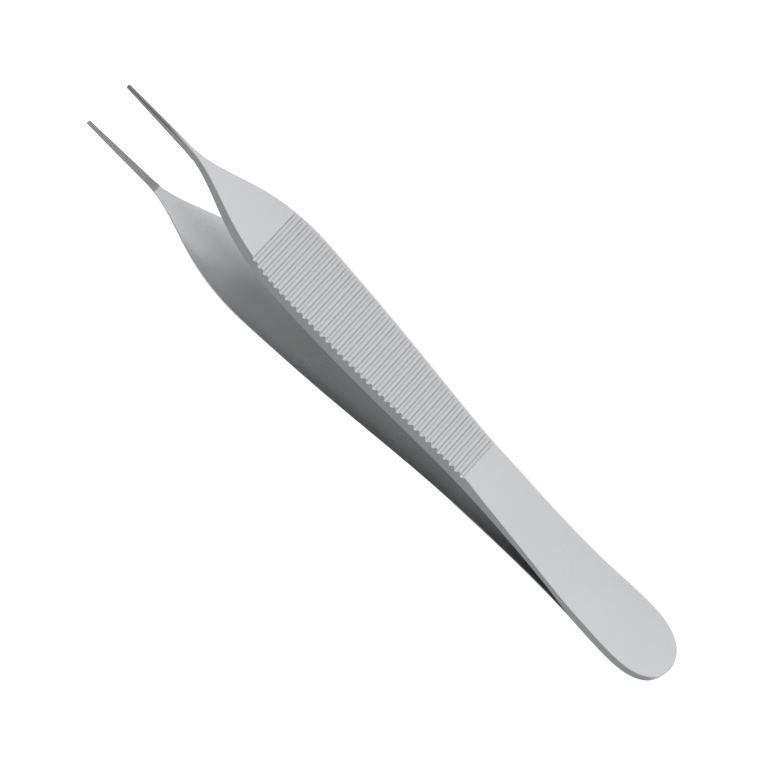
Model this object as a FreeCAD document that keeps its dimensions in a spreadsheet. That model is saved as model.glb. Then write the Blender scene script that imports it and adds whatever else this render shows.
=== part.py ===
import FreeCAD, Part
import math
import os
import Sketcher

# Fine-tipped thumb forceps in stainless steel, twelve centimetres long: two forged arms,
# joined face to face at the butt, with a cross-cut grip and slender serrated jaws.
# Millimetres. The forceps lie on their side edges: +X runs from the butt to the tips,
# Y is the way the arms spring open and +Z is the width of the arms. The origin is below
# the middle of the forceps, on the surface they lie on.
# Each arm is drawn in its own axes, with X from the butt end, Y outward from the joint
# face and Z across the width.

V = FreeCAD.Vector

SIZES = [
    ("overall_length", 120.0, "butt end to tips"),
    ("weld_length", 17.0, "joined length at the butt"),
    ("butt_thickness", 0.9, "one arm at the butt"),
    ("spring_end_at", 46.0, "where the spring of the arm runs into the grip"),
    ("spring_outer_pull", 7.0, "outer curve, tangent length at the weld"),
    ("spring_inner_pull", 0.5, "inner curve, tangent length at the weld"),
    ("spring_grip_pull", 5.0, "outer curve, tangent length at the grip"),
    ("spring_inner_grip_pull", 14.0, "inner curve, tangent length at the grip"),
    ("grip_back_at", 43.0, "back end of the grip"),
    ("grip_back_height", 4.07, "outer face above the joint plane there"),
    ("grip_front_at", 89.0, "front end of the grip"),
    ("grip_front_height", 7.86, "outer face above the joint plane there"),
    ("grip_thickness", 1.48, "one arm through the grip"),
    ("neck_outer_pull", 6.0, "outer curve, tangent length at the grip"),
    ("tip_outer_pull", 8.0, "outer curve, tangent length at the tip"),
    ("tip_outer_lift", 0.13, "rise of the outer curve behind the tip"),
    ("neck_inner_pull", 5.0, "inner curve of the neck, tangent length at both ends"),
    ("neck_inner_height", 7.42, "inner face of the neck at the jaw, above the joint plane"),
    ("neck_inner_slope", 0.055, "rise of the inner face there"),
    ("jaw_length", 14.5, "serrated flat from its step to the tip"),
    ("jaw_step", 0.1, "flat stands this proud of the neck"),
    ("tip_opening", 15.76, "gap between the two tips at rest"),
    ("tip_thickness", 0.5, "one tip, across the opening"),
    ("side_lean", 0.38, "side walls lean in towards the outer face, per unit of height"),
    ("tip_half_width", 0.31, "rounded end of the tip, on the forging plane"),
    ("tip_nose_half", 0.15, "half the flat nose of the tip, on the forging plane"),
    ("tip_pull", 0.15, "outline tangent length at the tip's rounded corners"),
    ("tip_bow", 0.05, "how far those corners fall back from square"),
    ("jaw_root_at", 107.4, "where the neck runs into the jaw"),
    ("jaw_root_half_width", 0.67, "half width there, on the forging plane"),
    ("jaw_root_pull", 7.45, "outline tangent length at the jaw"),
    ("grip_widest_at", 82.7, "widest place of the grip"),
    ("grip_half_width", 6.45, "half width there, on the forging plane"),
    ("grip_neck_pull", 13.35, "outline tangent length towards the neck"),
    ("grip_waist_pull", 20.7, "outline tangent length towards the waist"),
    ("waist_at", 35.3, "narrowest place behind the grip"),
    ("waist_half_width", 4.37, "half width there, on the forging plane"),
    ("waist_grip_pull", 18.0, "outline tangent length towards the grip"),
    ("waist_butt_pull", 17.7, "outline tangent length towards the butt"),
    ("butt_widest_at", 7.9, "widest place of the butt"),
    ("butt_half_width", 5.56, "half width there, on the forging plane"),
    ("butt_waist_pull", 6.3, "outline tangent length towards the waist"),
    ("butt_back_pull", 7.8, "outline tangent length towards the end"),
    ("butt_end_half", 0.3, "half the straight run of the butt end"),
    ("butt_end_pull", 0.59, "outline tangent length across the end"),
    ("butt_end_bow", 0.05, "how far the outline bows there"),
    ("ridge_pitch", 1.25, "grip ridges"),
    ("ridge_count", 37, "grooves in the grip"),
    ("groove_depth", 0.33, "grip grooves"),
    ("groove_mouth", 0.95, "grip grooves, between the crests"),
    ("groove_floor", 0.3, "grip grooves, flat floor"),
    ("tooth_pitch", 0.4, "jaw serrations"),
    ("tooth_count", 34, "grooves in one jaw"),
    ("tooth_margin", 0.5, "first serration from the step"),
    ("tooth_depth", 0.12, "jaw serrations"),
    ("tooth_mouth", 0.34, "jaw serrations, between the crests"),
    ("tooth_floor", 0.04, "jaw serrations, floor"),
    ("cut_run_out", 0.1, "grooving cuts start this far off the face"),
    ("blank_margin", 2.0, "forging blank past the finished outline"),
]


class Size:
    """A length together with the expression that works it out from the sheet."""

    def __init__(self, value, text):
        self.value = float(value)
        self.text = text

    def __add__(self, other):
        return Size(self.value + other.value, "(%s + %s)" % (self.text, other.text))

    def __sub__(self, other):
        return Size(self.value - other.value, "(%s - %s)" % (self.text, other.text))

    def __mul__(self, other):
        return Size(self.value * other.value, "(%s * %s)" % (self.text, other.text))

    def __truediv__(self, other):
        return Size(self.value / other.value, "(%s / %s)" % (self.text, other.text))

    def __neg__(self):
        return Size(-self.value, "(-%s)" % self.text)


def root(a):
    return Size(math.sqrt(a.value), "sqrt(%s)" % a.text)


def rise_angle(rise, run):
    return Size(math.degrees(math.atan2(rise.value, run.value)), "atan(%s / %s)" % (rise.text, run.text))


ZERO = Size(0, "0")
ONE = Size(1, "1")
TWO = Size(2, "2")

doc = FreeCAD.newDocument("thumb_forceps")
sheet = doc.addObject("Spreadsheet::Sheet", "Sizes")
S = {}
for row, (name, value, note) in enumerate(SIZES, start=1):
    sheet.set("A%d" % row, name)
    sheet.set("B%d" % row, str(value))
    sheet.setAlias("B%d" % row, name)
    sheet.set("C%d" % row, note)
    S[name] = Size(value, "Sizes.%s" % name)
doc.recompute()

# Sizes that follow from the others
tips_at = S["overall_length"]
jaw_at = tips_at - S["jaw_length"]
grip_run = S["grip_front_at"] - S["grip_back_at"]
grip_rise = S["grip_front_height"] - S["grip_back_height"]
grip_slope = grip_rise / grip_run
tip_inner = S["tip_opening"] / TWO
tip_outer = tip_inner + S["tip_thickness"]
jaw_base = S["neck_inner_height"] - S["jaw_step"]
margin = S["blank_margin"]
half_blank = S["grip_half_width"] + S["butt_half_width"]
lean = S["side_lean"]
tip_bow = S["tip_bow"]

# The outline is drawn on the forging plane, which runs from the middle of the butt's thickness to
# the middle of the tip's
forging_start = S["butt_thickness"] / TWO
forging_rise = tip_inner + S["tip_thickness"] / TWO - forging_start
forging_slope = forging_rise / tips_at
stretch = root(ONE + forging_slope * forging_slope)


def grip_face(at):
    """Height of the straight outer face of the grip at one station."""
    return S["grip_back_height"] + (at - S["grip_back_at"]) * grip_slope


def inner_face(at):
    """Height of the inner face, parallel to the grip, at one station."""
    return grip_face(at) - S["grip_thickness"]


def forging_plane(at):
    """Height of the forging plane at one station."""
    return forging_start + at * forging_slope


def origin_plane(body, role):
    for feature in body.Origin.OriginFeatures:
        if feature.Role == role:
            return feature
    raise RuntimeError("no plane " + role)


def place(sketch, geo, pos, point, kinds=("DistanceX", "DistanceY")):
    """Fix one point of a sketch by its distances from the sketch's origin."""
    for kind in kinds:
        axis, size = (-2, point[0]) if kind == "DistanceX" else (-1, point[1])
        if size.text == "0":
            sketch.addConstraint(Sketcher.Constraint("PointOnObject", geo, pos, axis))
            continue
        name = "%s_%d_%d" % (kind, geo, pos)
        if size.value >= 0:
            index = sketch.addConstraint(Sketcher.Constraint(kind, -1, 1, geo, pos, size.value))
        else:
            size = -size
            index = sketch.addConstraint(Sketcher.Constraint(kind, geo, pos, -1, 1, size.value))
        sketch.renameConstraint(index, name)
        sketch.setExpression("Constraints." + name, size.text)


def at(point):
    return V(point[0].value, point[1].value, 0)


def draw_loop(sketch, start, steps):
    """Draw a closed loop of lines and curves, every point of it bound to the sheet."""
    ends = []
    here = start
    for step in steps:
        kind = step[0]
        there = step[-1]
        if kind == "line":
            geo = sketch.addGeometry(Part.LineSegment(at(here), at(there)), False)
            place(sketch, geo, 2, there)
        else:
            poles = [here, step[1], step[2], there]
            curve = Part.BSplineCurve()
            curve.buildFromPolesMultsKnots([at(p) for p in poles], [4, 4], [0.0, 1.0], False, 3)
            geo = sketch.addGeometry(curve, False)
            handles = [sketch.addGeometry(Part.Circle(at(p), V(0, 0, 1), 1.0), True) for p in poles]
            sketch.addConstraint(Sketcher.Constraint("Weight", handles[0], 1.0))
            for handle in handles[1:]:
                sketch.addConstraint(Sketcher.Constraint("Equal", handles[0], handle))
            for number, handle in enumerate(handles):
                sketch.addConstraint(Sketcher.Constraint(
                    "InternalAlignment:Sketcher::BSplineControlPoint", handle, 3, geo, number))
            place(sketch, handles[1], 3, poles[1])
            place(sketch, handles[2], 3, poles[2])
            place(sketch, geo, 2, there)
        ends.append((geo, 1, 2))
        here = there
    for number, (geo, first, last) in enumerate(ends):
        after = ends[(number + 1) % len(ends)]
        sketch.addConstraint(Sketcher.Constraint("Coincident", geo, last, after[0], after[1]))


def new_sketch(body, name, role):
    sketch = body.newObject("Sketcher::SketchObject", name)
    sketch.AttachmentSupport = [(origin_plane(body, role), "")]
    sketch.MapMode = "FlatFace"
    return sketch


def tip_sketch(body, name, base_x, base_y, angle):
    """Sketch on the side plane whose axes start at one point of a face and run along it."""
    sketch = new_sketch(body, name, "XY_Plane")
    sketch.AttachmentOffset = FreeCAD.Placement(
        V(base_x.value, base_y.value, 0), FreeCAD.Rotation(V(0, 0, 1), angle.value))
    sketch.setExpression("AttachmentOffset.Base.x", base_x.text)
    sketch.setExpression("AttachmentOffset.Base.y", base_y.text)
    sketch.setExpression("AttachmentOffset.Rotation.Angle", angle.text)
    return sketch


def cut_through(body, name, sketch):
    """Cut a sketch through the arm both ways, and check that it removed metal."""
    before = body.Shape.Volume
    cut = body.newObject("PartDesign::Pocket", name)
    cut.Profile = sketch
    cut.SideType = "Symmetric"
    cut.Type = "ThroughAll"
    doc.recompute()
    if not body.Shape.Volume < before - 1e-6:
        raise RuntimeError(name + " removes nothing")
    return cut


def repeat(body, name, cut, sketch, count, pitch):
    """Repeat a cut along its own sketch's first axis."""
    before = body.Shape.Volume
    row = body.newObject("PartDesign::LinearPattern", name)
    row.Originals = [cut]
    row.Direction = (sketch, ["H_Axis"])
    row.Mode = "Spacing"
    row.Offset = pitch.value
    row.setExpression("Offset", pitch.text)
    row.Occurrences = int(count.value)
    row.setExpression("Occurrences", count.text)
    body.Tip = row
    doc.recompute()
    if not body.Shape.Volume < before - 1e-6:
        raise RuntimeError(name + " removes nothing")
    return row


def side_profile(body):
    """Side view of one arm: weld flat, spring, straight grip, neck and jaw."""
    sketch = new_sketch(body, "SideProfile", "XY_Plane")
    weld = S["weld_length"]
    spring = S["spring_end_at"]
    back = spring - S["spring_grip_pull"]
    front = S["grip_front_at"]
    neck = front + S["neck_outer_pull"]
    behind = tips_at - S["tip_outer_pull"]
    past = tips_at + margin
    base = S["butt_thickness"]
    inner_back = spring - S["spring_inner_grip_pull"]
    pull = S["neck_inner_pull"]
    neck_end = S["neck_inner_height"]
    start = (-margin, ZERO)
    draw_loop(sketch, start, [
        ("line", (weld, ZERO)),
        ("curve", (weld + S["spring_inner_pull"], ZERO), (inner_back, inner_face(inner_back)),
            (spring, inner_face(spring))),
        ("line", (front, inner_face(front))),
        ("curve", (front + pull, inner_face(front + pull)),
            (jaw_at - pull, neck_end - pull * S["neck_inner_slope"]), (jaw_at, neck_end)),
        ("line", (jaw_at, jaw_base)),
        ("line", (tips_at, tip_inner)),
        ("line", (past, tip_inner)),
        ("line", (past, tip_outer)),
        ("line", (tips_at, tip_outer)),
        ("curve", (behind, tip_outer + S["tip_outer_lift"]), (neck, grip_face(neck)),
            (front, S["grip_front_height"])),
        ("line", (spring, grip_face(spring))),
        ("curve", (back, grip_face(back)), (weld + S["spring_outer_pull"], base), (weld, base)),
        ("line", (-margin, base)),
        ("line", start),
    ])
    return sketch


def half_outline(body):
    """Everything outside one half of the outline. The sketch is parallel to the forging plane but
    below the whole arm, so its half widths are larger by the lean of the walls, and its slope
    stretches the distances along it. Past both ends the region crosses the middle of the arm, so
    that the two leaning walls leave nothing standing there."""
    sketch = new_sketch(body, "HalfOutline", "XZ_Plane")
    drop = margin * TWO
    base = drop - forging_start
    angle = rise_angle(forging_rise, tips_at)
    sketch.AttachmentOffset = FreeCAD.Placement(
        V(0, 0, base.value), FreeCAD.Rotation(V(0, 1, 0), angle.value))
    sketch.setExpression("AttachmentOffset.Base.z", base.text)
    sketch.setExpression("AttachmentOffset.Rotation.Angle", angle.text)
    tip = S["tip_half_width"]
    root_at = S["jaw_root_at"]
    widest = S["grip_widest_at"]
    waist = S["waist_at"]
    butt = S["butt_widest_at"]
    butt_half = S["butt_half_width"]
    waist_half = S["waist_half_width"]
    grip_half = S["grip_half_width"]
    root_half = S["jaw_root_half_width"]
    end_half = S["butt_end_half"]
    taper = (root_half - tip) / (tips_at - tip - root_at)
    far = margin * TWO
    wide = half_blank + margin
    across = -S["butt_thickness"]

    def lowered(station, half):
        return (station * stretch, half + drop * lean)

    start = lowered(ZERO, ZERO)
    draw_loop(sketch, start, [
        ("line", lowered(ZERO, end_half)),
        ("curve", lowered(S["butt_end_bow"], end_half + S["butt_end_pull"]),
            lowered(butt - S["butt_back_pull"], butt_half), lowered(butt, butt_half)),
        ("curve", lowered(butt + S["butt_waist_pull"], butt_half),
            lowered(waist - S["waist_butt_pull"], waist_half), lowered(waist, waist_half)),
        ("curve", lowered(waist + S["waist_grip_pull"], waist_half),
            lowered(widest - S["grip_waist_pull"], grip_half), lowered(widest, grip_half)),
        ("curve", lowered(widest + S["grip_neck_pull"], grip_half),
            lowered(root_at - S["jaw_root_pull"], root_half + S["jaw_root_pull"] * taper),
            lowered(root_at, root_half)),
        ("line", lowered(tips_at - tip, tip)),
        ("curve", lowered(tips_at - S["tip_pull"], tip), lowered(tips_at - tip_bow, tip - tip_bow),
            lowered(tips_at, S["tip_nose_half"])),
        ("line", lowered(tips_at, across)),
        ("line", lowered(tips_at + far, across)),
        ("line", lowered(tips_at + far, wide)),
        ("line", lowered(-far, wide)),
        ("line", lowered(-far, across)),
        ("line", lowered(ZERO, across)),
        ("line", start),
    ])
    return sketch


def trim_sides(body):
    """Cut one leaning side wall along the outline, and mirror it to the other side of the arm."""
    sketch = half_outline(body)
    before = body.Shape.Volume
    cut = body.newObject("PartDesign::Pocket", "TrimToOutline")
    cut.Profile = sketch
    cut.Type = "ThroughAll"
    cut.UseCustomVector = True
    cut.Direction = V(0, 1, -lean.value)
    cut.setExpression("Direction.z", (-lean).text)
    doc.recompute()
    half = body.Shape.Volume
    other = body.newObject("PartDesign::Mirrored", "TrimOtherSide")
    other.Originals = [cut]
    other.MirrorPlane = (origin_plane(body, "XY_Plane"), [""])
    body.Tip = other
    doc.recompute()
    if not body.Shape.Volume < half < before:
        raise RuntimeError("the outline removes nothing")
    return other


def groove(sketch, depth, mouth, floor, outward):
    """Flat-floored V groove across a face that lies on the sketch's first axis."""
    off = S["cut_run_out"]
    half_floor = floor / TWO
    half_mouth = mouth / TWO
    brim_half = half_mouth + (half_mouth - half_floor) * off / depth
    foot = -depth if outward else depth
    brim = off if outward else -off
    start = (-brim_half, brim)
    draw_loop(sketch, start, [
        ("line", (-half_floor, foot)),
        ("line", (half_floor, foot)),
        ("line", (brim_half, brim)),
        ("line", start),
    ])


def make_arm(label, tooth_shift):
    """One arm in its own axes; the shift sets its jaw serrations between the other's."""
    body = doc.addObject("PartDesign::Body", label)
    body.Label = label

    profile = side_profile(body)
    blank = body.newObject("PartDesign::Pad", "Blank")
    blank.Profile = profile
    blank.SideType = "Symmetric"
    blank.Length = (half_blank * TWO).value
    blank.setExpression("Length", (half_blank * TWO).text)
    doc.recompute()

    trim_sides(body)
    first = S["grip_back_at"] + S["ridge_pitch"] / TWO
    sketch = tip_sketch(body, "GripGroove", first, grip_face(first), rise_angle(grip_rise, grip_run))
    groove(sketch, S["groove_depth"], S["groove_mouth"], S["groove_floor"], True)
    cut = cut_through(body, "GripGrooveCut", sketch)
    repeat(body, "GripRidges", cut, sketch, S["ridge_count"], S["ridge_pitch"])

    jaw_slope = (tip_inner - jaw_base) / S["jaw_length"]
    offset = S["tooth_margin"] + tooth_shift
    sketch = tip_sketch(body, "JawSerration", jaw_at + offset, jaw_base + offset * jaw_slope,
                        rise_angle(tip_inner - jaw_base, S["jaw_length"]))
    groove(sketch, S["tooth_depth"], S["tooth_mouth"], S["tooth_floor"], False)
    cut = cut_through(body, "JawSerrationCut", sketch)
    repeat(body, "JawSerrations", cut, sketch, S["tooth_count"], S["tooth_pitch"])
    return body


def stand(body, turn):
    """Lay the arm on its side edge, turned about its length, with the origin below the middle."""
    widest = S["grip_widest_at"]
    height = S["grip_half_width"] + (forging_plane(widest) - inner_face(widest)) * lean
    middle = tips_at / TWO
    body.Placement = FreeCAD.Placement(
        V(-middle.value, 0, height.value), FreeCAD.Rotation(V(1, 0, 0), turn))
    body.setExpression("Placement.Base.x", "-" + middle.text)
    body.setExpression("Placement.Base.z", height.text)
    doc.recompute()


front_arm = make_arm("front_arm", ZERO * ONE)
rear_arm = make_arm("rear_arm", S["tooth_pitch"] / TWO)
stand(front_arm, 180)
stand(rear_arm, 0)

for item in doc.Objects:
    if "Invalid" in item.State or "Error" in item.State:
        raise RuntimeError("%s: %s" % (item.Name, item.State))

os.makedirs("parts", exist_ok=True)
for body in (front_arm, rear_arm):
    shape = body.Shape
    if shape.isNull() or not shape.isValid() or len(shape.Solids) != 1:
        raise RuntimeError(body.Label + " is not one sound solid")
    shape.exportStep("parts/%s.step" % body.Label)
    box = shape.optimalBoundingBox(False)
    print(body.Label, "volume %.1f" % shape.Volume,
          "x %.2f..%.2f y %.2f..%.2f z %.2f..%.2f" % (
              box.XMin, box.XMax, box.YMin, box.YMax, box.ZMin, box.ZMax),
          "faces", len(shape.Faces))
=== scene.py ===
"""Fine-tipped thumb forceps in satin stainless steel, lying on their side edges on white paper.

The two forged arms are surfaces worked out from the same curves and sizes as the solid model, with the
worked edges, the grip ridges and the jaw serrations that a ground and polished forging has.
"""
import math

import bmesh
import bpy
import numpy as np
from mathutils import Matrix, Vector


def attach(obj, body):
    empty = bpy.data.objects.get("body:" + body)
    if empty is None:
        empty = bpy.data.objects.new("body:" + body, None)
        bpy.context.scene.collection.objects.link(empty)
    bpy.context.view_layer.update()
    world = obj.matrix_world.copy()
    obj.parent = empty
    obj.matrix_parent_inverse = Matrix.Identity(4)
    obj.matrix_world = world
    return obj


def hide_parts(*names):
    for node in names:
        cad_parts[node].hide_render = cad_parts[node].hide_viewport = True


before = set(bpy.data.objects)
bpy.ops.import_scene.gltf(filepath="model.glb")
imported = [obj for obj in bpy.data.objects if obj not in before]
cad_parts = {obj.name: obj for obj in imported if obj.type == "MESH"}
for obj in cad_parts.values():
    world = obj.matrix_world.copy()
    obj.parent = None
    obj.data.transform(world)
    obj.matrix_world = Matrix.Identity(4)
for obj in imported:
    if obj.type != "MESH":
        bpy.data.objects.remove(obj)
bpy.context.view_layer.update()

MM = 0.001

# Sizes of one arm in millimetres, in its own axes: x from the butt end, y outward from the joint
# face, z across the width. Half widths are measured on the forging plane, which runs from the middle
# of the butt's thickness to the middle of the tip's.
LENGTH = 120.0
WELD = 17.0
BUTT_THICKNESS = 0.9
SPRING_END = 46.0
SPRING_OUTER_PULL = 7.0
SPRING_INNER_PULL = 0.5
SPRING_GRIP_PULL = 5.0
SPRING_INNER_GRIP_PULL = 14.0
GRIP_BACK, GRIP_BACK_HEIGHT = 43.0, 4.07
GRIP_FRONT, GRIP_FRONT_HEIGHT = 89.0, 7.86
GRIP_THICKNESS = 1.48
NECK_PULL = 6.0
TIP_PULL, TIP_LIFT = 8.0, 0.13
NECK_INNER_PULL, NECK_INNER_HEIGHT, NECK_INNER_SLOPE = 5.0, 7.42, 0.055
JAW_LENGTH, JAW_STEP = 14.5, 0.1
TIP_INNER = 7.88
TIP_THICKNESS = 0.5
SIDE_LEAN = 0.38
TIP_HALF, TIP_NOSE, TIP_CORNER_PULL, TIP_BOW = 0.31, 0.15, 0.15, 0.05
JAW_ROOT, JAW_ROOT_HALF, JAW_ROOT_PULL = 107.4, 0.67, 7.45
GRIP_WIDEST, GRIP_HALF, GRIP_NECK_PULL, GRIP_WAIST_PULL = 82.7, 6.45, 13.35, 20.7
WAIST, WAIST_HALF, WAIST_GRIP_PULL, WAIST_BUTT_PULL = 35.3, 4.37, 18.0, 17.7
BUTT_WIDEST, BUTT_HALF, BUTT_WAIST_PULL, BUTT_BACK_PULL = 7.9, 5.56, 6.3, 7.8
BUTT_END_HALF, BUTT_END_PULL, BUTT_END_BOW = 0.3, 0.59, 0.05
RIDGE_PITCH, RIDGE_COUNT = 1.25, 37
GROOVE_DEPTH, GROOVE_MOUTH, GROOVE_FLOOR = 0.33, 0.95, 0.3
TOOTH_PITCH, TOOTH_COUNT, TOOTH_MARGIN = 0.4, 34, 0.5
TOOTH_DEPTH, TOOTH_MOUTH, TOOTH_FLOOR = 0.12, 0.34, 0.04

# Worked edges: radii, the share of them that the slim jaw keeps, the largest part of a face that an
# edge may take, and the stretches over which the jaw grows slim and the grip has its larger edges.
OUTER_ROUND, GRIP_ROUND, INNER_ROUND, END_ROUND = 0.25, 0.5, 0.08, 0.12
GRIP_NARROWING = 0.2
JAW_OUTER_SHARE, JAW_INNER_SHARE = 0.45, 0.6
OUTER_LIMIT, INNER_LIMIT = 0.45, 0.3
SLIM_FROM, SLIM_TO = 97.0, 106.0
WORKED_FROM, WORKED_FULL = 37.0, 45.0
WORKED_FADES, WORKED_TO = 74.0, 84.0
CROTCH_RUN = 5.0
RIDGE_SOFTNESS, TOOTH_SOFTNESS = 0.03, 0.012

# Painted shade in the steel's colour: the serrated flat and the outer side of the jaw are painted
# darker for the shade and dark reflection that they show, and the ridged grip is a little darker.
# Also the depth of the flat that is painted dark, the heights at which the outer side of the jaw turns
# dark, and where along the jaw it does.
FLAT_PAINTED_SHADE, BACK_PAINTED_SHADE, RIDGE_TONE = 0.5, 0.4, 0.97
FLAT_SHADED, FLAT_CLEAR = 0.11, 0.16
BACK_CLEAR, BACK_SHADED = 8.14, 8.24
BACK_FADE_FROM, BACK_FADE_TO = 1.2, 6.0
FLAT_FADE, RIDGE_FADE = 0.1, 0.4

# Brightness of the paper for the camera and in the steel, and of the air of the studio.
CAMERA_GLOW, MIRROR_GLOW = 0.72, 0.07
AIR_COLOUR = (0.40, 0.405, 0.41, 1.0)
PAPER_REACH = 2.0

RISE = (GRIP_FRONT_HEIGHT - GRIP_BACK_HEIGHT) / (GRIP_FRONT - GRIP_BACK)
JAW_AT = LENGTH - JAW_LENGTH


def cubic(poles, count=400):
    """Points of a cubic Bezier curve: each pole times its Bernstein weight at even parameters."""
    p = np.asarray(poles, float)
    t = np.linspace(0.0, 1.0, count)[:, None]
    return (1 - t) ** 3 * p[0] + 3 * (1 - t) ** 2 * t * p[1] + 3 * (1 - t) * t ** 2 * p[2] + t ** 3 * p[3]


def grip_face(x):
    """Straight outer face of the grip: its height at the back plus the slope times the distance."""
    return GRIP_BACK_HEIGHT + (x - GRIP_BACK) * RISE


def inner_face(x):
    """Inner face of the grip, one thickness under the line of the outer face."""
    return grip_face(x) - GRIP_THICKNESS


def forging_plane(x):
    """Straight line from the middle of the butt's thickness to the middle of the tip's."""
    start = BUTT_THICKNESS / 2
    return start + x * (TIP_INNER + TIP_THICKNESS / 2 - start) / LENGTH


STAND = GRIP_HALF + (forging_plane(GRIP_WIDEST) - inner_face(GRIP_WIDEST)) * SIDE_LEAN


def outer_profile():
    """Outer face in side view: butt flat, spring curve, straight grip, and the curve to the tip."""
    back = SPRING_END - SPRING_GRIP_PULL
    tip = TIP_INNER + TIP_THICKNESS
    spring = cubic([(WELD, BUTT_THICKNESS), (WELD + SPRING_OUTER_PULL, BUTT_THICKNESS),
                    (back, grip_face(back)), (SPRING_END, grip_face(SPRING_END))])
    neck = cubic([(GRIP_FRONT, GRIP_FRONT_HEIGHT),
                  (GRIP_FRONT + NECK_PULL, grip_face(GRIP_FRONT + NECK_PULL)),
                  (LENGTH - TIP_PULL, tip + TIP_LIFT), (LENGTH, tip)])
    return np.vstack([[(0.0, BUTT_THICKNESS)], spring, neck])


def inner_profile():
    """Inner face in side view: joint flat, crotch curve, straight grip, neck curve, and the jaw flat
    behind its step."""
    back = SPRING_END - SPRING_INNER_GRIP_PULL
    crotch = cubic([(WELD, 0.0), (WELD + SPRING_INNER_PULL, 0.0),
                    (back, inner_face(back)), (SPRING_END, inner_face(SPRING_END))])
    pull = NECK_INNER_PULL
    neck = cubic([(GRIP_FRONT, inner_face(GRIP_FRONT)), (GRIP_FRONT + pull, inner_face(GRIP_FRONT + pull)),
                  (JAW_AT - pull, NECK_INNER_HEIGHT - pull * NECK_INNER_SLOPE),
                  (JAW_AT - 0.03, NECK_INNER_HEIGHT)])
    return np.vstack([[(0.0, 0.0)], crotch, neck, [(JAW_AT + 0.03, NECK_INNER_HEIGHT - JAW_STEP),
                                                   (LENGTH, TIP_INNER)]])


def outline():
    """Half outline on the forging plane, from the flat of the butt end to the nose of the tip."""
    taper = (JAW_ROOT_HALF - TIP_HALF) / (LENGTH - TIP_HALF - JAW_ROOT)
    butt = cubic([(0, BUTT_END_HALF), (BUTT_END_BOW, BUTT_END_HALF + BUTT_END_PULL),
                  (BUTT_WIDEST - BUTT_BACK_PULL, BUTT_HALF), (BUTT_WIDEST, BUTT_HALF)], 1200)
    waist = cubic([(BUTT_WIDEST, BUTT_HALF), (BUTT_WIDEST + BUTT_WAIST_PULL, BUTT_HALF),
                   (WAIST - WAIST_BUTT_PULL, WAIST_HALF), (WAIST, WAIST_HALF)])
    grip = cubic([(WAIST, WAIST_HALF), (WAIST + WAIST_GRIP_PULL, WAIST_HALF),
                  (GRIP_WIDEST - GRIP_WAIST_PULL, GRIP_HALF), (GRIP_WIDEST, GRIP_HALF)])
    neck = cubic([(GRIP_WIDEST, GRIP_HALF), (GRIP_WIDEST + GRIP_NECK_PULL, GRIP_HALF),
                  (JAW_ROOT - JAW_ROOT_PULL, JAW_ROOT_HALF + JAW_ROOT_PULL * taper),
                  (JAW_ROOT, JAW_ROOT_HALF)])
    tip = cubic([(LENGTH - TIP_HALF, TIP_HALF), (LENGTH - TIP_CORNER_PULL, TIP_HALF),
                 (LENGTH - TIP_BOW, TIP_HALF - TIP_BOW), (LENGTH, TIP_NOSE)], 120)
    return np.vstack([butt, waist[1:], grip[1:], neck[1:], tip])


OUTER, INNER, OUTLINE = outer_profile(), inner_profile(), outline()


def along(curve, x):
    """Height of a curve at each station, read between its points."""
    return np.interp(x, curve[:, 0], curve[:, 1])


def smooth(x, low, high):
    """Smooth step from 0 at low to 1 at high: 3t squared minus 2t cubed."""
    t = np.clip((x - low) / (high - low), 0.0, 1.0)
    return t * t * (3.0 - 2.0 * t)


def stations(shift):
    """Places along the arm: close together round both ends, on every corner of the ridges and on
    every serration."""
    turn = np.linspace(0.0, math.pi / 2, 44)
    butt = 5.0 * (1.0 - np.cos(turn))
    ridge = np.array([0.0, 0.1, 0.15, 0.2, 0.31, 0.42, 0.475, 0.53, 0.6])
    ridge = np.concatenate([-ridge[:0:-1], ridge])
    grooves = GRIP_BACK + RIDGE_PITCH * (np.arange(RIDGE_COUNT) + 0.5)
    grip = (grooves[:, None] + ridge).ravel()
    teeth = JAW_AT + TOOTH_MARGIN + shift + TOOTH_PITCH * (np.arange(0, TOOTH_COUNT * 8 + 1) / 8.0 - 0.5)
    nose = LENGTH - TIP_HALF * (1.0 - np.sin(np.linspace(0.0, math.pi / 2, 14)))
    parts = [
        butt, END_ROUND * np.array([0.1, 0.3, 0.6, 1.0]), np.arange(5.4, GRIP_BACK, 0.45), grip,
        np.arange(grip[-1] + 0.1, JAW_AT - 0.1, 0.22),
        JAW_AT + np.array([-0.08, -0.03, 0.0, 0.03, 0.08]),
        teeth[(teeth > JAW_AT + 0.12) & (teeth < LENGTH)], nose,
    ]
    x = np.unique(np.round(np.concatenate(parts), 5))
    return x[np.concatenate([[True], np.diff(x) > 0.004])]


def comb(x, first, pitch, count, depth, mouth, floor, soft):
    """Row of flat-floored V grooves. The rise from the mouth to the floor is a ramp from 0 to 1, and
    both ends of the ramp are softened by hyperbolas: half of the root of s squared plus e squared,
    less the same for s minus 1, plus 1."""
    number = np.clip(np.round((x - first) / pitch), 0, count - 1)
    off = np.abs(x - first - number * pitch)
    flank = (mouth - floor) / 2
    s = (mouth / 2 - off) / flank
    e = soft / flank
    return depth * 0.5 * (np.sqrt(s ** 2 + e ** 2) - np.sqrt((s - 1) ** 2 + e ** 2) + 1.0)


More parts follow.
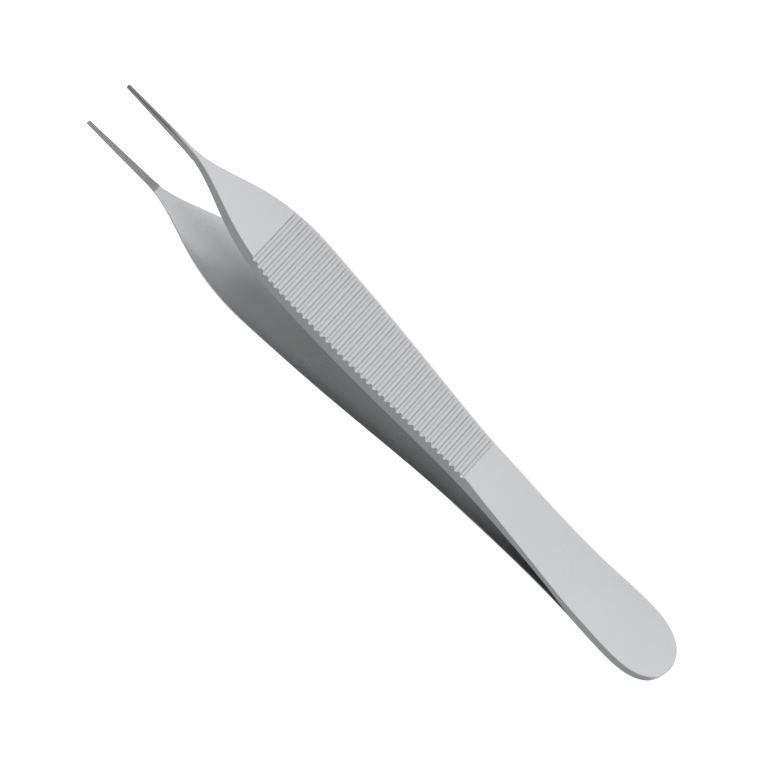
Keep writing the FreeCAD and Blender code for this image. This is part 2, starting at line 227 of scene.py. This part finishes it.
def half_section(x, shift):
    """Half of the section at every station, from the middle of the outer face over its rounded edge,
    down the leaning wall and round the inner edge to the middle of the inner face. An edge between
    the face and a wall that leans by the angle a is an arc: after a turn p from the face it has
    fallen by the radius times one minus the cosine of p, and it lies the tangent length, less the
    radius times the sine of p, inside the corner. Where the outline runs at a slope, distances
    across it are stretched by the root of one plus the slope squared. In the grip the outer
    face is narrowed a little, so the wall leans more there: by the narrowing over the thickness."""
    top = along(OUTER, x)
    low = along(INNER, x)
    back = np.clip(END_ROUND - x, 0.0, END_ROUND)
    nose = np.clip(END_ROUND - (LENGTH - x), 0.0, END_ROUND)
    fall_back = END_ROUND - np.sqrt(END_ROUND ** 2 - back ** 2)
    fall_nose = END_ROUND - np.sqrt(END_ROUND ** 2 - nose ** 2)
    dense = np.linspace(0.0, LENGTH, 6001)
    edge = along(OUTLINE, dense) - (along(OUTER, dense) - forging_plane(dense)) * SIDE_LEAN
    slope = np.interp(x, dense, np.gradient(edge, dense))
    stretch = np.sqrt(1.0 + slope ** 2)
    worked = smooth(x, WORKED_FROM, WORKED_FULL) * (1.0 - smooth(x, WORKED_FADES, WORKED_TO))
    w_top = along(OUTLINE, x) - (top - forging_plane(x)) * SIDE_LEAN - GRIP_NARROWING * worked
    w_low = along(OUTLINE, x) + (forging_plane(x) - low) * SIDE_LEAN
    top = top - fall_back - fall_nose
    low = low + fall_nose
    w_top = w_top + (fall_back + fall_nose) * SIDE_LEAN
    w_low = w_low - fall_nose * SIDE_LEAN
    wall_lean = SIDE_LEAN + GRIP_NARROWING * worked / np.maximum(top - low, 0.3)
    lean = np.arctan(wall_lean / stretch)
    slim = smooth(x, SLIM_FROM, SLIM_TO)
    face_turn = math.pi / 2 - lean
    back_turn = math.pi / 2 + lean
    face_tan = np.tan(face_turn / 2)
    back_tan = np.tan(back_turn / 2)
    r_out = OUTER_ROUND + (GRIP_ROUND - OUTER_ROUND) * worked
    r_out = np.minimum(r_out * (1.0 - (1.0 - JAW_OUTER_SHARE) * slim),
                       OUTER_LIMIT * w_top / (stretch * face_tan))
    r_in = INNER_ROUND * smooth(x, WELD, WELD + CROTCH_RUN)
    r_in = np.minimum(r_in * (1.0 - (1.0 - JAW_INNER_SHARE) * slim),
                      INNER_LIMIT * w_low / (stretch * back_tan))
    first = GRIP_BACK + RIDGE_PITCH / 2
    cut = comb(x, first, RIDGE_PITCH, RIDGE_COUNT, GROOVE_DEPTH, GROOVE_MOUTH, GROOVE_FLOOR, RIDGE_SOFTNESS)
    cut = np.where(np.abs(x - (GRIP_BACK + GRIP_FRONT) / 2) < RIDGE_PITCH * (RIDGE_COUNT + 1) / 2, cut, 0.0)
    jaw = smooth(x, JAW_AT + 0.1, JAW_AT + 0.25) * (1.0 - smooth(x, LENGTH - 0.5, LENGTH - 0.3))
    bite = comb(x, JAW_AT + TOOTH_MARGIN + shift, TOOTH_PITCH, TOOTH_COUNT, TOOTH_DEPTH, TOOTH_MOUTH,
                TOOTH_FLOOR, TOOTH_SOFTNESS) * jaw

    y, z = [], []
    for part in (0.0, 0.2, 0.4, 0.6, 0.8, 1.0):
        y.append(top)
        z.append((w_top - r_out * face_tan * stretch) * part)
    for step in range(1, 9):
        p = face_turn * step / 8
        y.append(top - r_out * (1.0 - np.cos(p)))
        z.append(w_top - (face_tan - np.sin(p)) * r_out * stretch)
    start = r_out * (1.0 - np.sin(lean))
    end = top - low - r_in * (1.0 + np.sin(lean))
    for part in (0.05, 0.1, 0.145, 0.19, 0.3, 0.5, 0.75, 1.0):
        depth = start + (end - start) * part
        y.append(top - depth)
        z.append(w_top + depth * wall_lean)
    y = [np.minimum(level, top - cut) for level in y]
    for step in range(1, 7):
        p = back_turn * (1.0 - step / 6)
        y.append(np.maximum(low + r_in * (1.0 - np.cos(p)), low + bite))
        z.append(w_low - (back_tan - np.sin(p)) * r_in * stretch)
    for part in (0.66, 0.33, 0.0):
        y.append(low + bite)
        z.append((w_low - r_in * back_tan * stretch) * part)
    return np.array(y), np.array(z)


def arm_surface(name, turned, shift):
    """One arm as a closed grid of rings, one ring round the section at each station, with a fan of
    triangles over each end."""
    x = stations(shift)
    half_y, half_z = half_section(x, shift)
    ring_y = np.vstack([half_y, half_y[-2:0:-1]])
    ring_z = np.vstack([half_z, -half_z[-2:0:-1]])
    rings, around = len(x), len(ring_y)
    verts = np.empty((rings, around, 3))
    verts[:, :, 0] = x[:, None] - LENGTH / 2
    verts[:, :, 1] = ring_y.T
    verts[:, :, 2] = ring_z.T
    caps = verts[[0, -1]].mean(axis=1)
    points = np.vstack([verts.reshape(-1, 3), caps])
    if turned:
        points[:, 1:] *= -1.0
    points[:, 2] += STAND
    points = points * MM

    step = np.arange(around)
    after = (step + 1) % around
    a = np.arange(rings - 1)[:, None] * around + step
    b = np.arange(rings - 1)[:, None] * around + after
    quads = np.stack([a, b, b + around, a + around], axis=-1).reshape(-1, 4)
    last = (rings - 1) * around
    centre = rings * around
    ends = [(centre, int(j), int(i)) for i, j in zip(step, after)]
    ends += [(centre + 1, last + int(i), last + int(j)) for i, j in zip(step, after)]
    mesh = bpy.data.meshes.new(name)
    mesh.from_pydata(points.tolist(), [], quads.tolist() + ends)

    work = bmesh.new()
    work.from_mesh(mesh)
    bmesh.ops.remove_doubles(work, verts=work.verts, dist=1e-8)
    bmesh.ops.dissolve_degenerate(work, edges=work.edges, dist=1e-9)
    bmesh.ops.recalc_face_normals(work, faces=work.faces)
    if work.calc_volume(signed=True) < 0:
        bmesh.ops.reverse_faces(work, faces=work.faces)
    work.to_mesh(mesh)
    work.free()
    mesh.polygons.foreach_set("use_smooth", np.ones(len(mesh.polygons), dtype=bool))
    mesh.set_sharp_from_angle(angle=math.radians(50))
    mesh.update()
    piece = bpy.data.objects.new(name, mesh)
    bpy.context.scene.collection.objects.link(piece)
    return piece


def node(tree, kind, **values):
    """One shader node with its settings."""
    made = tree.nodes.new(kind)
    for key, value in values.items():
        setattr(made, key, value)
    return made


def satin_steel():
    """Finely polished stainless steel: a clear grey metal with a soft satin sheen, a faint grain
    along the arm and slight clouding where it was buffed. The ridged grip is a little darker, and
    the serrated flats and the outer sides of the fine jaws carry painted shade: their colour is
    darkened for the shade and dark reflection that they show."""
    steel = bpy.data.materials.new("satin_stainless_steel")
    steel.use_nodes = True
    tree = steel.node_tree
    tree.nodes.clear()
    out = node(tree, "ShaderNodeOutputMaterial")
    shader = node(tree, "ShaderNodeBsdfPrincipled")
    shader.inputs["Metallic"].default_value = 1.0
    tree.links.new(shader.outputs["BSDF"], out.inputs["Surface"])
    where = node(tree, "ShaderNodeTexCoord")

    def pattern(scale, size, detail):
        mapping = node(tree, "ShaderNodeMapping")
        mapping.inputs["Scale"].default_value = scale
        tree.links.new(where.outputs["Object"], mapping.inputs["Vector"])
        noise = node(tree, "ShaderNodeTexNoise")
        noise.inputs["Scale"].default_value = size
        noise.inputs["Detail"].default_value = detail
        tree.links.new(mapping.outputs["Vector"], noise.inputs["Vector"])
        return noise.outputs["Fac"]

    def spread(source, low, high, start=0.3, end=0.7):
        levels = node(tree, "ShaderNodeMapRange")
        levels.inputs["From Min"].default_value = start
        levels.inputs["From Max"].default_value = end
        levels.inputs["To Min"].default_value = low
        levels.inputs["To Max"].default_value = high
        tree.links.new(source, levels.inputs["Value"])
        return levels.outputs["Result"]

    def math_node(operation, first, second=0.0):
        made = node(tree, "ShaderNodeMath", operation=operation)
        for socket, value in zip(made.inputs, (first, second)):
            if isinstance(value, float):
                socket.default_value = value
            else:
                tree.links.new(value, socket)
        return made.outputs[0]

    axes = node(tree, "ShaderNodeSeparateXYZ")
    tree.links.new(where.outputs["Object"], axes.inputs["Vector"])
    ahead = axes.outputs["X"]
    away = math_node("ABSOLUTE", axes.outputs["Y"])

    # Places in metres from the middle of the arm: the ends of the ridges, the jaw step and the faces
    # of the jaw, whose flat rises from the step to the tip.
    jaw_at = (JAW_AT - LENGTH / 2) * MM
    flat_low = NECK_INNER_HEIGHT - JAW_STEP
    flat_rise = (TIP_INNER - flat_low) / JAW_LENGTH
    over_flat = math_node("SUBTRACT", away, math_node("MULTIPLY", ahead, flat_rise))
    over_flat = math_node("SUBTRACT", over_flat, flat_low * MM - jaw_at * flat_rise)
    # Painted shade: the serrated flat of the jaw, from the step to the tip, is darkened in colour.
    flat = math_node("MULTIPLY", spread(over_flat, 1.0, 0.0, FLAT_SHADED * MM, FLAT_CLEAR * MM),
                     spread(ahead, 0.0, 1.0, jaw_at, jaw_at + FLAT_FADE * MM))
    # Painted shade: the outer side of the jaw, above a height and growing towards the tip, is darkened in
    # colour for a dark reflection.
    back = math_node("MULTIPLY", spread(away, 0.0, 1.0, BACK_CLEAR * MM, BACK_SHADED * MM),
                     spread(ahead, 0.0, 1.0, jaw_at + BACK_FADE_FROM * MM, jaw_at + BACK_FADE_TO * MM))
    first, last = (GRIP_BACK - LENGTH / 2) * MM, (GRIP_FRONT - LENGTH / 2) * MM
    ridged = math_node("MULTIPLY", spread(ahead, 0.0, 1.0, first, first + RIDGE_FADE * MM),
                       spread(ahead, 1.0, 0.0, last - RIDGE_FADE * MM, last))
    # The painted shade of the jaw, times the slightly darker ridged grip, scales the steel's colour.
    tone = math_node("MULTIPLY", spread(flat, 1.0, FLAT_PAINTED_SHADE, 0.0, 1.0),
                     spread(back, 1.0, BACK_PAINTED_SHADE, 0.0, 1.0))
    tone = math_node("MULTIPLY", tone, spread(ridged, 1.0, RIDGE_TONE, 0.0, 1.0))

    clouds = pattern((1.0, 1.0, 1.0), 120.0, 3.0)
    grain = pattern((1.0, 9.0, 9.0), 900.0, 2.0)
    shade = node(tree, "ShaderNodeMix", data_type="RGBA")
    shade.inputs[6].default_value = (0.622, 0.624, 0.628, 1.0)
    shade.inputs[7].default_value = (0.638, 0.640, 0.644, 1.0)
    tree.links.new(spread(clouds, 0.0, 1.0), shade.inputs[0])
    toned = node(tree, "ShaderNodeVectorMath", operation="SCALE")
    tree.links.new(shade.outputs[2], toned.inputs[0])
    tree.links.new(tone, toned.inputs["Scale"])
    tree.links.new(toned.outputs[0], shader.inputs["Base Color"])
    rough = node(tree, "ShaderNodeMath", operation="ADD")
    tree.links.new(spread(clouds, 0.28, 0.3), rough.inputs[0])
    tree.links.new(spread(grain, -0.01, 0.01), rough.inputs[1])
    tree.links.new(rough.outputs[0], shader.inputs["Roughness"])
    bump = node(tree, "ShaderNodeBump")
    bump.inputs["Strength"].default_value = 0.03
    bump.inputs["Distance"].default_value = 0.00002
    tree.links.new(grain, bump.inputs["Height"])
    tree.links.new(bump.outputs["Normal"], shader.inputs["Normal"])
    return steel


STEEL = satin_steel()

for name, stands_for, turned, shift in (
        ("front_arm_forging", "front_arm", True, 0.0),
        ("rear_arm_forging", "rear_arm", False, TOOTH_PITCH / 2)):
    piece = arm_surface(name, turned, shift)
    piece.data.materials.append(STEEL)
    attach(piece, "root")
    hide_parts(stands_for)

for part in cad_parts.values():
    if part.material_slots:
        for held in part.material_slots:
            held.material = STEEL
    else:
        part.data.materials.append(STEEL)


def floor_surface():
    """Flat white floor under the forceps: the four corners of a square round its middle."""
    r = PAPER_REACH
    corners = [(-r, -r, 0.0), (r, -r, 0.0), (r, r, 0.0), (-r, r, 0.0)]
    mesh = bpy.data.meshes.new("white_floor")
    mesh.from_pydata(corners, [], [(0, 1, 2, 3)])
    floor = bpy.data.objects.new("white_floor", mesh)
    bpy.context.scene.collection.objects.link(floor)
    return floor


def white_paper():
    """Plain matt white paper. A glow lifts it to full white for the camera and, less, for the steel
    that mirrors it, and both still see the soft shadow of the forceps."""
    paper = bpy.data.materials.new("white_paper")
    paper.use_nodes = True
    tree = paper.node_tree
    tree.nodes.clear()
    out = node(tree, "ShaderNodeOutputMaterial")
    matt = node(tree, "ShaderNodeBsdfDiffuse")
    matt.inputs["Color"].default_value = (0.9, 0.9, 0.9, 1.0)
    path = node(tree, "ShaderNodeLightPath")
    mirrored = node(tree, "ShaderNodeMath", operation="MAXIMUM")
    tree.links.new(path.outputs["Is Glossy Ray"], mirrored.inputs[0])
    tree.links.new(path.outputs["Is Transmission Ray"], mirrored.inputs[1])
    lift = None
    for source, strength in (
            (path.outputs["Is Camera Ray"], CAMERA_GLOW), (mirrored.outputs[0], MIRROR_GLOW)):
        glow = node(tree, "ShaderNodeEmission")
        glow.inputs["Color"].default_value = (1.0, 1.0, 1.0, 1.0)
        amount = node(tree, "ShaderNodeMath", operation="MULTIPLY")
        tree.links.new(source, amount.inputs[0])
        amount.inputs[1].default_value = strength
        tree.links.new(amount.outputs[0], glow.inputs["Strength"])
        both = node(tree, "ShaderNodeAddShader")
        tree.links.new((lift or matt).outputs[0], both.inputs[0])
        tree.links.new(glow.outputs[0], both.inputs[1])
        lift = both
    tree.links.new(lift.outputs[0], out.inputs["Surface"])
    return paper


floor = floor_surface()
floor.data.materials.append(white_paper())

scene = bpy.context.scene
scene.view_settings.view_transform = "Standard"

sky = bpy.data.worlds.new("studio_air")
scene.world = sky
sky.use_nodes = True
air = sky.node_tree
air.nodes.clear()
air_out = node(air, "ShaderNodeOutputWorld")
air_light = node(air, "ShaderNodeBackground")
air_light.inputs["Color"].default_value = AIR_COLOUR
air_light.inputs["Strength"].default_value = 1.0
air.links.new(air_light.outputs[0], air_out.inputs["Surface"])


def softbox(name, place, aim, width, height, power):
    """Rectangular soft light that faces the given point. The steel mirrors the paper and the air round
    it, and not the lamp itself."""
    light = bpy.data.lights.new(name, "AREA")
    light.shape = "RECTANGLE"
    light.size = width
    light.size_y = height
    light.energy = power
    holder = bpy.data.objects.new(name, light)
    scene.collection.objects.link(holder)
    direction = Vector(aim) - Vector(place)
    holder.rotation_euler = direction.to_track_quat("-Z", "Y").to_euler()
    holder.location = place
    holder.visible_glossy = False
    return holder


softbox("key_softbox", (0.5, -0.9, 1.3), (0.0, 0.0, 0.0), 1.0, 1.0, 15.5)
softbox("fill_softbox", (-1.0, -0.4, 1.2), (0.0, 0.0, 0.0), 1.2, 1.2, 9.0)

# The camera looks down on the outer face of the front arm from 0.92 m, a little from the side of the
# tips, and is rolled so that the tips point to the upper left of the picture.
CAMERA_DISTANCE = 0.92
CAMERA_ALONG = 0.085
CAMERA_HEIGHT_ANGLE = math.radians(30.0)
CAMERA_ROLL = 2.35031716
CAMERA_LENS = 287.8
AIM_ALONG, AIM_UP = 0.0011076, 0.0000851


def photo_camera():
    """Camera at the photograph's angle: its place from the height angle and the distance along the
    arm, its aim, and its right and up axes turned by the roll."""
    middle = np.array([0.0, 0.0, STAND * MM])
    level = np.array([0.0, -math.cos(CAMERA_HEIGHT_ANGLE), math.sin(CAMERA_HEIGHT_ANGLE)])
    side = CAMERA_ALONG / CAMERA_DISTANCE
    place = middle + CAMERA_DISTANCE * (level * math.sqrt(1 - side ** 2) + np.array([side, 0.0, 0.0]))
    rise = np.array([0.0, math.sin(CAMERA_HEIGHT_ANGLE), math.cos(CAMERA_HEIGHT_ANGLE)])
    aim = middle + np.array([AIM_ALONG, 0.0, 0.0]) + AIM_UP * rise
    ahead = (aim - place) / np.linalg.norm(aim - place)
    along_x = np.array([1.0, 0.0, 0.0]) - ahead * ahead[0]
    along_x /= np.linalg.norm(along_x)
    up = np.cross(along_x, ahead)
    c, s = math.cos(CAMERA_ROLL), math.sin(CAMERA_ROLL)
    right, top = along_x * c - up * s, along_x * s + up * c
    lens = bpy.data.cameras.new("photo_camera")
    lens.lens = CAMERA_LENS
    lens.sensor_width = 36.0
    lens.clip_start = 0.05
    lens.clip_end = 20.0
    camera = bpy.data.objects.new("photo_camera", lens)
    scene.collection.objects.link(camera)
    turn = Matrix((right, top, -ahead)).transposed()
    camera.matrix_world = Matrix.Translation(Vector(place)) @ turn.to_4x4()
    scene.camera = camera


photo_camera()
